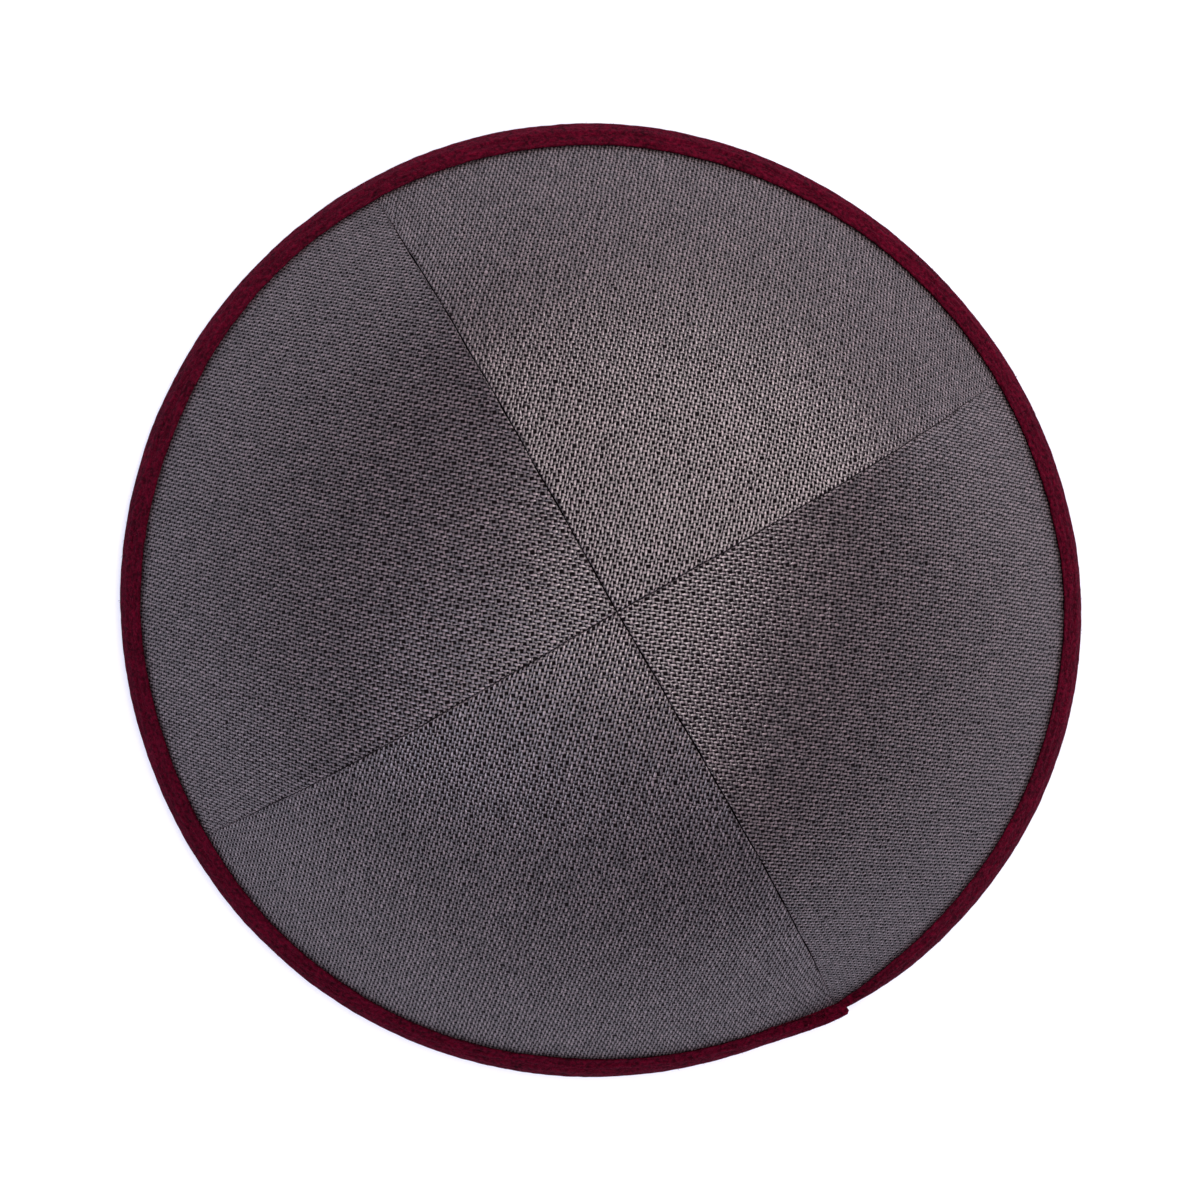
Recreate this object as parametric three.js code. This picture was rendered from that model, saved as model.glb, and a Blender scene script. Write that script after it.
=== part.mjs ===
// Kippah: four cloth panels sewn into a low dome, with a binding strip folded over the rim.
// Millimetres, +Z up, resting rim down on z = 0. Bearings are in degrees from +X towards +Y.

import * as THREE from 'three';

// Crown form, on the middle of the cloth
const CROWN_RISE = 53;
const CROWN_POWER = 2.15;
const RIDGE_HEIGHT = 5.5;
const RIDGE_POWER = 1.5;

// Outline of the binding seen from above, about the apex
const RIM = [
  { bearing: 0, radius: 82.3 },
  { bearing: 22.5, radius: 80.9 },
  { bearing: 45, radius: 79.9 },
  { bearing: 67.5, radius: 80.0 },
  { bearing: 90, radius: 80.6 },
  { bearing: 112.5, radius: 80.8 },
  { bearing: 135, radius: 80.6 },
  { bearing: 157.5, radius: 80.4 },
  { bearing: 180, radius: 80.3 },
  { bearing: 202.5, radius: 80.1 },
  { bearing: 225, radius: 80.5 },
  { bearing: 247.5, radius: 80.7 },
  { bearing: 270, radius: 80.6 },
  { bearing: 292.5, radius: 80.6 },
  { bearing: 315, radius: 82.1 },
  { bearing: 337.5, radius: 82.8 },
];

// Panels, each between two seams
const CLOTH_THICKNESS = 1.2;
const SEAM_GAP = 0.3;
const CLOTH_COLOUR = 0x5f565b;
const PANELS = [
  { name: 'panel_back', firstSeam: 29, lastSeam: 119 },
  { name: 'panel_left', firstSeam: 119, lastSeam: 210.5 },
  { name: 'panel_front', firstSeam: 210.5, lastSeam: 300.5 },
  { name: 'panel_right', firstSeam: 300.5, lastSeam: 389 },
];

// Binding, a strip folded over the edge of the cloth
const BINDING_THICKNESS = 1;
const BINDING_OUTER_WIDTH = 5.1;
const BINDING_INNER_WIDTH = 5.6;
const BINDING_CLEARANCE = 0.3;
const BINDING_BEVEL = 0.4;
const EDGE_HEIGHT = 1.6;
const FOLD_TURN = Math.PI / 6;
const BINDING_COLOUR = 0x5a1026;

// Lap where the end of the strip lies over its own start
const LAP_RISE = 1.2;
const LAP_START = 288;
const LAP_FULL = 299;
const LAP_END = 301.5;
const LAP_STEP = 0.1;

// Fineness of the faces
const PANEL_ROWS = 20;
const PANEL_COLUMNS = 16;
const RING_STATIONS = 96;
const SLOPE_STEP = 0.01;

const HALF_CLOTH = CLOTH_THICKNESS / 2;
const HALF_CHANNEL = HALF_CLOTH + BINDING_CLEARANCE;
const HALF_BINDING = HALF_CHANNEL + BINDING_THICKNESS;
const HALF_FOOT = Math.sqrt(HALF_BINDING ** 2 - EDGE_HEIGHT ** 2);

const radians = THREE.MathUtils.degToRad;
const degrees = THREE.MathUtils.radToDeg;

// Radius of the outline at a bearing, a smooth closed curve through the rows of RIM
function rimRadius(bearing) {
  const spacing = 360 / RIM.length;
  const place = THREE.MathUtils.euclideanModulo(bearing, 360) / spacing;
  const row = Math.floor(place);
  const part = place - row;
  const [a, b, c, d] = [-1, 0, 1, 2].map((k) => RIM[(row + k + RIM.length) % RIM.length].radius);
  const cubic = 3 * (b - c) + d - a;
  const square = 2 * a - 5 * b + 4 * c - d;
  return b + 0.5 * part * (c - a + part * (square + part * cubic));
}

// Radius of the cloth's lower edge
function edgeRadius(bearing) {
  return rimRadius(bearing) - HALF_BINDING;
}

// Height of the middle of a panel's cloth over a place in plan, measured from the apex.
// The panel is flat across and its seams stand up as soft ridges between the apex and the rim.
function crownHeight(panel, x, y) {
  const centre = (panel.firstSeam + panel.lastSeam) / 2;
  const bearing = degrees(Math.atan2(y, x));
  const fromCentre = THREE.MathUtils.euclideanModulo(bearing - centre + 180, 360) - 180;
  const across = (2 * fromCentre) / (panel.lastSeam - panel.firstSeam);
  const out = Math.hypot(x, y) / edgeRadius(bearing);
  const round = CROWN_RISE * (1 - out ** CROWN_POWER);
  const ridge = RIDGE_HEIGHT * Math.sin(Math.PI * out ** RIDGE_POWER) ** 2;
  return EDGE_HEIGHT + round + ridge * across ** 2;
}

// Outward normal of the cloth
function crownNormal(panel, x, y) {
  const rise = (dx, dy) => crownHeight(panel, x + dx, y + dy) - crownHeight(panel, x - dx, y - dy);
  const slopeX = rise(SLOPE_STEP, 0) / (2 * SLOPE_STEP);
  const slopeY = rise(0, SLOPE_STEP) / (2 * SLOPE_STEP);
  return new THREE.Vector3(-slopeX, -slopeY, 1).normalize();
}

// Normal for a seam edge, turned into the seam's upright plane and lengthened to keep the thickness
function mitredNormal(normal, seam) {
  const acrossSeam = new THREE.Vector3(-Math.sin(radians(seam)), Math.cos(radians(seam)), 0);
  const flat = normal.clone().addScaledVector(acrossSeam, -normal.dot(acrossSeam));
  return flat.divideScalar(flat.lengthSq());
}

// A point on one skin of a panel. Its rows run from the tip at the apex down to the rim.
function panelPoint(panel, row, column, offset) {
  const centre = (panel.firstSeam + panel.lastSeam) / 2;
  const halfAngle = (panel.lastSeam - panel.firstSeam) / 2;
  const halfGap = SEAM_GAP / 2;
  const tip = halfGap / Math.sin(radians(halfAngle));
  const down = row / PANEL_ROWS;
  const across = (2 * column) / PANEL_COLUMNS - 1;
  const reach = THREE.MathUtils.lerp(tip, edgeRadius(centre), down);
  const inset = degrees(Math.asin(halfGap / reach));
  const bearing = centre + across * (halfAngle - inset);
  const radius = reach * (edgeRadius(bearing) / edgeRadius(centre)) ** down;
  const turn = radians(bearing);
  const point = new THREE.Vector3(radius * Math.cos(turn), radius * Math.sin(turn), 0);
  const normal = crownNormal(panel, point.x, point.y);
  point.z = crownHeight(panel, point.x, point.y);
  if (row > 0 && column === 0) {
    return point.addScaledVector(mitredNormal(normal, panel.firstSeam), offset);
  }
  if (row > 0 && column === PANEL_COLUMNS) {
    return point.addScaledVector(mitredNormal(normal, panel.lastSeam), offset);
  }
  return point.addScaledVector(normal, offset);
}

// One skin of a panel: its tip, then each row of points
function panelSkin(panel, offset) {
  const points = [panelPoint(panel, 0, PANEL_COLUMNS / 2, offset)];
  for (let row = 1; row <= PANEL_ROWS; row += 1) {
    for (let column = 0; column <= PANEL_COLUMNS; column += 1) {
      points.push(panelPoint(panel, row, column, offset));
    }
  }
  return points;
}

// Closed body from points and triangles
function closedGeometry(points, triangles) {
  const geometry = new THREE.BufferGeometry();
  geometry.setAttribute('position', new THREE.Float32BufferAttribute(points.flatMap((p) => p.toArray()), 3));
  geometry.setIndex(triangles);
  geometry.computeVertexNormals();
  return geometry;
}

// A panel's wall: the outer skin, the inner skin and the cut edge round both
function panelGeometry(panel) {
  const outer = panelSkin(panel, HALF_CLOTH);
  const inner = panelSkin(panel, -HALF_CLOTH);
  const inside = outer.length;
  const at = (row, column) => (row === 0 ? 0 : 1 + (row - 1) * (PANEL_COLUMNS + 1) + column);
  const triangles = [];
  const addFace = (a, b, c) => {
    triangles.push(a, b, c);
    triangles.push(inside + a, inside + c, inside + b);
  };
  const edge = [0];
  for (let row = 0; row < PANEL_ROWS; row += 1) {
    for (let column = 0; column < PANEL_COLUMNS; column += 1) {
      if (row > 0) {
        addFace(at(row, column), at(row + 1, column + 1), at(row, column + 1));
      }
      addFace(at(row, column), at(row + 1, column), at(row + 1, column + 1));
    }
    edge.push(at(row + 1, 0));
  }
  for (let column = 1; column <= PANEL_COLUMNS; column += 1) {
    edge.push(at(PANEL_ROWS, column));
  }
  for (let row = PANEL_ROWS - 1; row > 0; row -= 1) {
    edge.push(at(row, PANEL_COLUMNS));
  }
  edge.forEach((a, k) => {
    const b = edge[(k + 1) % edge.length];
    triangles.push(a, inside + a, inside + b);
    triangles.push(a, inside + b, b);
  });
  return closedGeometry([...outer, ...inner], triangles);
}

// How far the outer face of the binding is lifted where its end laps over its start
function lapRise(bearing) {
  if (bearing < LAP_START || bearing > LAP_END + LAP_STEP / 2) {
    return 0;
  }
  return LAP_RISE * THREE.MathUtils.smoothstep(bearing, LAP_START, LAP_FULL);
}

// Cross-section of the binding at a bearing: a folded strip with a flat foot and an open channel
function bindingSection(bearing) {
  const panel = PANELS.find((p) => bearing >= p.firstSeam && bearing < p.lastSeam) ?? PANELS.at(-1);
  const aim = new THREE.Vector3(Math.cos(radians(bearing)), Math.sin(radians(bearing)), 0);
  const edge = edgeRadius(bearing);
  const runPerWidth = crownNormal(panel, edge * aim.x, edge * aim.y).z;
  const place = (width, offset) => {
    const point = aim.clone().multiplyScalar(edge - width * runPerWidth);
    const normal = crownNormal(panel, point.x, point.y);
    point.z = crownHeight(panel, point.x, point.y);
    return point.addScaledVector(normal, offset);
  };
  const placeLow = (reach, height) => aim.clone().multiplyScalar(edge + reach).setZ(height);
  const lift = lapRise(bearing);
  const outerFace = HALF_BINDING + lift;
  const outerTop = BINDING_OUTER_WIDTH;
  const innerTop = BINDING_INNER_WIDTH;
  return [
    place(outerTop, HALF_CHANNEL),
    place(outerTop, outerFace - BINDING_BEVEL),
    place(outerTop - BINDING_BEVEL, outerFace),
    place(outerTop / 2, outerFace),
    place(0, outerFace),
    placeLow(outerFace, EDGE_HEIGHT),
    placeLow(outerFace * Math.cos(FOLD_TURN), EDGE_HEIGHT - HALF_BINDING * Math.sin(FOLD_TURN)),
    placeLow(HALF_FOOT + lift, 0),
    placeLow(-HALF_FOOT, 0),
    place(0, -HALF_BINDING),
    place(innerTop / 2, -HALF_BINDING),
    place(innerTop - BINDING_BEVEL, -HALF_BINDING),
    place(innerTop, BINDING_BEVEL - HALF_BINDING),
    place(innerTop, -HALF_CHANNEL),
    place(-BINDING_CLEARANCE, -HALF_CHANNEL),
    place(-BINDING_CLEARANCE, HALF_CHANNEL),
  ];
}

// The binding: its cross-section carried once round the rim
function bindingGeometry() {
  const bearings = Array.from({ length: RING_STATIONS }, (_, k) => (360 * k) / RING_STATIONS);
  bearings.push(LAP_END, LAP_END + LAP_STEP);
  bearings.sort((a, b) => a - b);
  const sections = bearings.map(bindingSection);
  const size = sections[0].length;
  const triangles = [];
  sections.forEach((section, station) => {
    const next = (station + 1) % sections.length;
    for (let k = 0; k < size; k += 1) {
      const after = (k + 1) % size;
      const [a, b] = [station * size + k, station * size + after];
      const [c, d] = [next * size + k, next * size + after];
      triangles.push(a, b, d);
      triangles.push(a, d, c);
    }
  });
  return closedGeometry(sections.flat(), triangles);
}

function cloth() {
  return new THREE.MeshStandardMaterial({ color: CLOTH_COLOUR, roughness: 0.95, metalness: 0 });
}

const kippah = new THREE.Group();
kippah.name = 'kippah';
PANELS.forEach((panel) => {
  const mesh = new THREE.Mesh(panelGeometry(panel), cloth());
  mesh.name = panel.name;
  kippah.add(mesh);
});

const felt = new THREE.MeshStandardMaterial({ color: BINDING_COLOUR, roughness: 0.9, metalness: 0 });
const binding = new THREE.Mesh(bindingGeometry(), felt);
binding.name = 'binding';
kippah.add(binding);

// The middle of the outline stands over the origin
const box = new THREE.Box3().setFromObject(kippah);
const middle = box.getCenter(new THREE.Vector3());
kippah.position.set(-middle.x, -middle.y, -box.min.z);

export default kippah;
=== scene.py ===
# Kippah: woven linen panels, a folded binding round the rim, its stitches and its nap.
# The helpers work in millimetres about the apex, and the meshes are in metres in the frame.
import math
from collections import namedtuple

import bpy
import numpy as np
from mathutils import Matrix, Vector


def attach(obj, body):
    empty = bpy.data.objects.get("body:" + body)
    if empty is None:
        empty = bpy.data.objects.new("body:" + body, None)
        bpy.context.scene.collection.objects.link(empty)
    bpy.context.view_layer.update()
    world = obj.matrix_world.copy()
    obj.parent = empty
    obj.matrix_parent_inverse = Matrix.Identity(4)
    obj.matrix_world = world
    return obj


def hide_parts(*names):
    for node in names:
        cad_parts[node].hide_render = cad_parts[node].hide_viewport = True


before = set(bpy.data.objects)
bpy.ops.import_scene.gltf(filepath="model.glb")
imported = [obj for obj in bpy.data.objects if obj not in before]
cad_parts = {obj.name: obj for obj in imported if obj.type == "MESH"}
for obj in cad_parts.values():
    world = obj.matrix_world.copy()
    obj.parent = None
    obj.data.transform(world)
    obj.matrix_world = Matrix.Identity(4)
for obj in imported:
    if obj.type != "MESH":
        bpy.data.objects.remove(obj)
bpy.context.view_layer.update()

bl_info = {
    "name": "Linen kippah",
    "version": (1, 0, 0),
    "blender": (4, 5, 0),
    "location": "3D View > Sidebar > Kippah",
    "description": "Builds a linen skullcap of four panels with a folded binding round its rim",
    "category": "Add Mesh",
}

METRES = 0.001
APEX = (-1.0, 0.0)
SEED = 7

# Crown form, on the middle of the cloth
CROWN_RISE = 53
CROWN_POWER = 2.15
RIDGE_HEIGHT = 5.5
RIDGE_POWER = 1.5
EDGE_HEIGHT = 1.6
SLOPE_STEP = 0.01

# Outline of the binding and width of its outer leg, at even bearings about the apex
RIM = (82.3, 80.9, 79.9, 80.0, 80.6, 80.8, 80.6, 80.4, 80.3, 80.1, 80.5, 80.7, 80.6, 80.6, 82.1, 82.8)
OUTER_LEG = (4.45, 5.18, 4.75, 5.2, 5.31, 5.05, 4.4, 5.08, 4.5, 5.01, 4.4, 4.14, 4.4, 3.05, 4.24, 5.0)

# Panels between their seams, with the bearing of their warp and the half gap at each seam.
# Each panel's threads are numbered this far apart, so that no two panels look alike.
Panel = namedtuple("Panel", "name first last grain first_gap last_gap")
MAIN_GAP = 0.10
CROSS_GAP = 0.055
THREADS_APART = 400
PANELS = (
    Panel("panel_back", 29, 119, 74.0, CROSS_GAP, MAIN_GAP),
    Panel("panel_left", 119, 210.5, 166.0, MAIN_GAP, CROSS_GAP),
    Panel("panel_front", 210.5, 300.5, 253.0, CROSS_GAP, MAIN_GAP),
    Panel("panel_right", 300.5, 389, 351.0, MAIN_GAP, CROSS_GAP),
)

# Bow of the weft across a panel, seen from above
WEFT_BOW = 0.55
WEFT_BOW_POWER = 1.6

# Relief of the weave: the crowns of the threads, the threads between their crossings, and the gaps
WARP_CROWN = 0.08
WEFT_CROWN = 0.06
WARP_BETWEEN = 0.03
WEFT_BETWEEN = -0.07
THREAD_GAP = -0.18

# Wander of the threads: its shortest and longest wave in threads, and its size, for the place in threads
# and for the body as a share of the crowns' height
SWAY_WAVES = (5, 22)
BODY_WAVES = (5, 18)
WARP_SWAY = 0.42
WEFT_SWAY = 0.40
BODY_SWAY = 0.5

# Seam between two panels
SEAM_ROLL = 0.15
SEAM_SWAY = 0.07
SEAM_CLOSES = (0.80, 0.97)
SEAM_ROLL_AT_RIM = 0.14
ROLL_STEPS = 3

# Plain inner skin: how far it keeps from the seams, and how many half threads from point to point
LINING_INSET = 0.05
LINING_STEP = 4

# Tape under the seams
TAPE_WIDTH = 10.0
TAPE_DEPTH = 0.65
TAPE_THICKNESS = 0.35
TAPE_ROWS = 121
TAPE_COLUMNS = 9

# Folded binding
HALF_CHANNEL = 0.9
HALF_BINDING = 1.9
INNER_LEG = 5.6
BINDING_STATION = 0.5
LAP_RISE = 1.2
LAP_START = 289
LAP_FULL = 302.5
LAP_END = 301.5
LAP_NARROWING = 2.2
LAP_MIDDLE = 300.5
LAP_SPREAD = 6.0
STRIP_START = 291
UNDER_END = 306
STITCH_FROM_TOP = 2.2
EDGE_ROUND = 0.3
EDGE_SET_BACK = 0.28
# Where on the strip map the set-back hem under the outer lip is painted nearly black: painted shade
HEM_SHADE = (0.30, 0.55)
END_ROUND = 0.7

# Unevenness of the binding's face and of its outer edge: over how many stations it is smooth, and its size
FACE_UNEVENNESS = ((2, 0.035), (9, 0.04))
EDGE_UNEVENNESS = ((2, 0.10), (22, 0.09))

# Radius of a stitch, the places along it in half lengths, and length and radius of the nap's fibres
STITCH_RADIUS = 0.15
STITCH_STATIONS = np.linspace(-1.25, 1.25, 8)
NAP_LENGTH = (0.4, 1.1)
NAP_RADIUS = (0.020, 0.036)

# Layout of a panel's bake map: the share that half a skin's width takes up, where each skin's own
# zero lies, and how far the wall between the skins reaches out, in millimetres of cloth
OUTER_SHARE = 0.49
OUTER_PLACE = (0.5, 0.02)
INNER_SHARE = 0.19
INNER_PLACE = (0.012, 0.012)
WALL_REACH = 0.8

# Where the weave's look and its gloss change on the way to the rim, in metres from the apex. Towards the
# rim the threads grow wider and the painted shade in the gaps grows lighter.
LOOK_CHANGES = (0.040, 0.076)
GLOSS_FADES = (0.030, 0.070)
GLOSS_AT_RIM = 0.75

# Camera, floor and the height that the lights look at, in millimetres in the frame
CAMERA_PLACE = (-29.17, 15.30, 535.0)
CAMERA_AIM = (-0.671, 0.302, 0.0)
VIEW_WIDTH = 203.4
SENSOR_WIDTH = 36.0
HALF_FLOOR = 2000
LIGHTS_LOOK_AT = 30


class ClothSettings(bpy.types.PropertyGroup):
    warp_pitch: bpy.props.FloatProperty(
        name="Warp pitch",
        description="Distance between the threads that run from the apex to the rim",
        default=0.000603,
        min=0.0004,
        max=0.002,
        precision=6,
        subtype="DISTANCE",
        unit="LENGTH",
    )
    weft_pitch: bpy.props.FloatProperty(
        name="Weft pitch",
        description="Distance between the threads that run across a panel",
        default=0.00076,
        min=0.0004,
        max=0.002,
        precision=6,
        subtype="DISTANCE",
        unit="LENGTH",
    )
    thickness: bpy.props.FloatProperty(
        name="Thickness",
        description="Thickness of a panel's cloth with its backing",
        default=0.0012,
        min=0.0006,
        max=0.0015,
        precision=5,
        subtype="DISTANCE",
        unit="LENGTH",
    )
    thread_colour: bpy.props.FloatVectorProperty(
        name="Thread colour",
        description="Colour of the linen threads where they lie highest",
        default=(0.094, 0.0738, 0.0765),
        min=0,
        max=1,
        subtype="COLOR",
    )
    # Near-black colour painted into the gaps between the threads: painted shade, lighter towards the rim
    gap_shade_colour: bpy.props.FloatVectorProperty(
        name="Gap colour",
        description="Colour of the depths between the threads",
        default=(0.0020, 0.0008, 0.0011),
        min=0,
        max=1,
        subtype="COLOR",
    )


class BindingSettings(bpy.types.PropertyGroup):
    colour: bpy.props.FloatVectorProperty(
        name="Binding colour",
        description="Colour of the brushed binding",
        default=(0.042, 0.0005, 0.0050),
        min=0,
        max=1,
        subtype="COLOR",
    )
    stitch_colour: bpy.props.FloatVectorProperty(
        name="Stitch colour",
        description="Colour of the thread of the topstitch",
        default=(0.050, 0.0016, 0.008),
        min=0,
        max=1,
        subtype="COLOR",
    )
    stitch_pitch: bpy.props.FloatProperty(
        name="Stitch pitch",
        description="Distance from one stitch to the next",
        default=0.0029,
        min=0.002,
        max=0.006,
        precision=5,
        subtype="DISTANCE",
        unit="LENGTH",
    )
    stitch_length: bpy.props.FloatProperty(
        name="Stitch length",
        description="Length of a stitch that shows",
        default=0.0014,
        min=0.0005,
        max=0.003,
        precision=5,
        subtype="DISTANCE",
        unit="LENGTH",
    )
    nap_fibres: bpy.props.IntProperty(
        name="Nap fibres",
        description="Number of loose fibres on the binding",
        default=3600,
        min=0,
        max=6000,
    )


class StageSettings(bpy.types.PropertyGroup):
    floor_colour: bpy.props.FloatVectorProperty(
        name="Floor colour",
        description="Colour of the floor",
        default=(0.43, 0.44, 0.50),
        min=0,
        max=1,
        subtype="COLOR",
    )
    key_power: bpy.props.FloatProperty(
        name="Key power",
        description="Power of the soft light behind and to the right",
        default=6.8,
        min=0,
        unit="POWER",
    )
    top_power: bpy.props.FloatProperty(
        name="Top light power",
        description="Power of the soft light nearly overhead",
        default=6.8,
        min=0,
        unit="POWER",
    )
    fill_power: bpy.props.FloatProperty(
        name="Fill light power",
        description="Power of the soft light in front and to the left",
        default=5.1,
        min=0,
        unit="POWER",
    )
    world_strength: bpy.props.FloatProperty(
        name="Surrounding light",
        description="Strength of the even light from all round",
        default=0.2,
        min=0,
    )


def periodic(values, bearing):
    """A smooth closed curve through values at even bearings."""
    rows = np.array(values)
    place = np.mod(bearing, 360) * len(rows) / 360
    row = np.floor(place).astype(int)
    part = place - row
    a, b, c, d = (rows[(row + k) % len(rows)] for k in (-1, 0, 1, 2))
    cubic = 3 * (b - c) + d - a
    square = 2 * a - 5 * b + 4 * c - d
    return b + 0.5 * part * (c - a + part * (square + part * cubic))


def edge_radius(bearing):
    """Radius of the cloth's lower edge."""
    return periodic(RIM, bearing) - HALF_BINDING


def bearing_of(x, y):
    return np.degrees(np.arctan2(y, x))


def smoothstep(low, high, value):
    part = np.clip((value - low) / (high - low), 0, 1)
    return part * part * (3 - 2 * part)


def crown_height(panel, x, y):
    """Height of the middle of a panel's cloth. Its seams stand up as soft ridges."""
    centre = (panel.first + panel.last) / 2
    bearing = bearing_of(x, y)
    from_centre = np.mod(bearing - centre + 180, 360) - 180
    across = 2 * from_centre / (panel.last - panel.first)
    out = np.hypot(x, y) / edge_radius(bearing)
    dome = CROWN_RISE * (1 - out**CROWN_POWER)
    ridge = RIDGE_HEIGHT * np.sin(np.pi * out**RIDGE_POWER) ** 2
    return EDGE_HEIGHT + dome + ridge * across**2


def crown_normal(panel, x, y):
    """Outward normals of the cloth, one row for each place."""
    h = SLOPE_STEP
    slope_x = (crown_height(panel, x + h, y) - crown_height(panel, x - h, y)) / (2 * h)
    slope_y = (crown_height(panel, x, y + h) - crown_height(panel, x, y - h)) / (2 * h)
    normal = np.stack([-slope_x, -slope_y, np.ones_like(slope_x)], axis=-1)
    return normal / np.linalg.norm(normal, axis=-1, keepdims=True)


def crown_point(panel, x, y, offset):
    """Points of a skin of the cloth, with their normals."""
    normal = crown_normal(panel, x, y)
    middle = np.stack([x, y, crown_height(panel, x, y)], axis=-1)
    return middle + normal * np.asarray(offset)[..., None], normal


def panel_at(bearing):
    """The panel at a bearing."""
    turned = (bearing - PANELS[0].first) % 360 + PANELS[0].first
    return next(p for p in PANELS if p.first <= turned < p.last)


def seam_inward(panel):
    """Level directions from each of a panel's two seams into it."""
    first = math.radians(panel.first)
    last = math.radians(panel.last)
    return (
        np.array([-math.sin(first), math.cos(first), 0]),
        np.array([math.sin(last), -math.cos(last), 0]),
    )


def seam_gap(panel, seam, radius):
    """Half the gap at a panel's first or last seam. It closes towards the rim."""
    gap = panel.last_gap if seam else panel.first_gap
    bearing = panel.last if seam else panel.first
    out = radius / float(edge_radius(bearing))
    uneven = 1 + 0.25 * np.sin(radius / 0.9 + bearing) + 0.2 * np.sin(radius / 2.3 + 2 * bearing)
    return gap * uneven * (1 - 0.8 * smoothstep(*SEAM_CLOSES, out))


def seam_distance(panel, points, seam):
    """How far points lie inside a panel from the middle of one of its seams, which sways a little."""
    bearing = panel.last if seam else panel.first
    turn = math.radians(bearing % 360)
    radius = np.maximum(points[..., 0] * math.cos(turn) + points[..., 1] * math.sin(turn), 0)
    waves = np.sin(radius / 3.1 + bearing % 360) + np.sin(radius / 1.7)
    sway = SEAM_SWAY * smoothstep(1, 8, radius) * waves / 2
    return points @ seam_inward(panel)[seam] + (sway if seam else -sway)


def wander(random, threads, places, waves, size):
    """A smooth wander along each thread: one row for each thread."""
    total = np.zeros((threads, len(places)))
    for _ in range(3):
        wave = random.uniform(*waves, (threads, 1))
        phase = random.uniform(0, 2 * np.pi, (threads, 1))
        total += random.uniform(0.3, 1, (threads, 1)) * np.sin(2 * np.pi * places / wave + phase)
    return total * size / 3


def on_half_threads(rows):
    """Rows for the threads and, between each two, their mean."""
    between = (rows[:-1] + rows[1:]) / 2
    both = np.empty((2 * len(rows) - 1, rows.shape[1]))
    both[0::2] = rows
    both[1::2] = between
    return both


Weave = namedtuple("Weave", "x y warp weft relief")


def weave_places(panel, settings, random):
    """Places in plan of the threads' crossings and of the points between them, half a thread apart."""
    warp_pitch = settings.warp_pitch / METRES
    weft_pitch = settings.weft_pitch / METRES
    centre = math.radians(panel.grain)
    full = float(edge_radius(panel.grain))
    reach = np.arange(0, full + 3, 0.05)
    rise = crown_height(panel, reach * math.cos(centre), reach * math.sin(centre))
    way = np.concatenate([[0], np.cumsum(np.hypot(np.diff(reach), np.diff(rise)))])
    wefts = int(way[-1] / weft_pitch) + 1
    half_warps = int(0.80 * full * 1.18 / warp_pitch)
    warps = 2 * half_warps + 1
    weft_places = np.arange(2 * wefts - 1) / 2
    warp_places = np.arange(2 * warps - 1) / 2 - half_warps

    warp_sway = on_half_threads(wander(random, warps, weft_places, SWAY_WAVES, WARP_SWAY)).T
    weft_sway = on_half_threads(wander(random, wefts, warp_places, SWAY_WAVES, WEFT_SWAY))
    warp_body = on_half_threads(wander(random, warps, weft_places, BODY_WAVES, BODY_SWAY)).T
    weft_body = on_half_threads(wander(random, wefts, warp_places, BODY_WAVES, BODY_SWAY))

    along = np.maximum(weft_places[:, None] + weft_sway, 0.02) * weft_pitch
    arc = (warp_places[None, :] + warp_sway) * warp_pitch
    start = np.interp(along, way, reach)
    bow = WEFT_BOW * (start / full) ** WEFT_BOW_POWER
    side = np.empty_like(arc)
    line = np.linspace(-1, 1, 421)
    for row in range(len(weft_places)):
        middle = np.interp(max(weft_places[row], 0.02) * weft_pitch, way, reach)
        row_bow = WEFT_BOW * (middle / full) ** WEFT_BOW_POWER
        across = line * (1.3 * middle + 1.5)
        out = np.sqrt(np.maximum(middle**2 - row_bow * across**2, 1e-4))
        x = out * math.cos(centre) - across * math.sin(centre)
        y = out * math.sin(centre) + across * math.cos(centre)
        steps = np.sqrt(np.diff(x) ** 2 + np.diff(y) ** 2 + np.diff(crown_height(panel, x, y)) ** 2)
        length = np.concatenate([[0], np.cumsum(steps)])
        length -= length[len(line) // 2]
        side[row] = np.interp(arc[row], length, across)
    out = np.sqrt(np.maximum(start**2 - bow * side**2, 1e-4))
    x = out * math.cos(centre) - side * math.sin(centre)
    y = out * math.sin(centre) + side * math.cos(centre)

    weft_number = np.arange(2 * wefts - 1)[:, None]
    warp_number = np.arange(2 * warps - 1)[None, :] - 2 * half_warps
    on_weft = weft_number % 2 == 0
    on_warp = warp_number % 2 == 0
    warp_over = (weft_number // 2 + warp_number // 2) % 2 == 0
    crown = np.where(warp_over, WARP_CROWN * (1 + warp_body), WEFT_CROWN * (1 + weft_body))
    between = np.where(on_warp, WARP_BETWEEN, np.where(on_weft, WEFT_BETWEEN, THREAD_GAP))
    relief = np.where(on_weft & on_warp, crown, between)
    warp, weft = np.meshgrid(warp_places, weft_places)
    return Weave(x, y, warp, weft, relief)


Skin = namedtuple("Skin", "points normals threads polygons loop")


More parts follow.
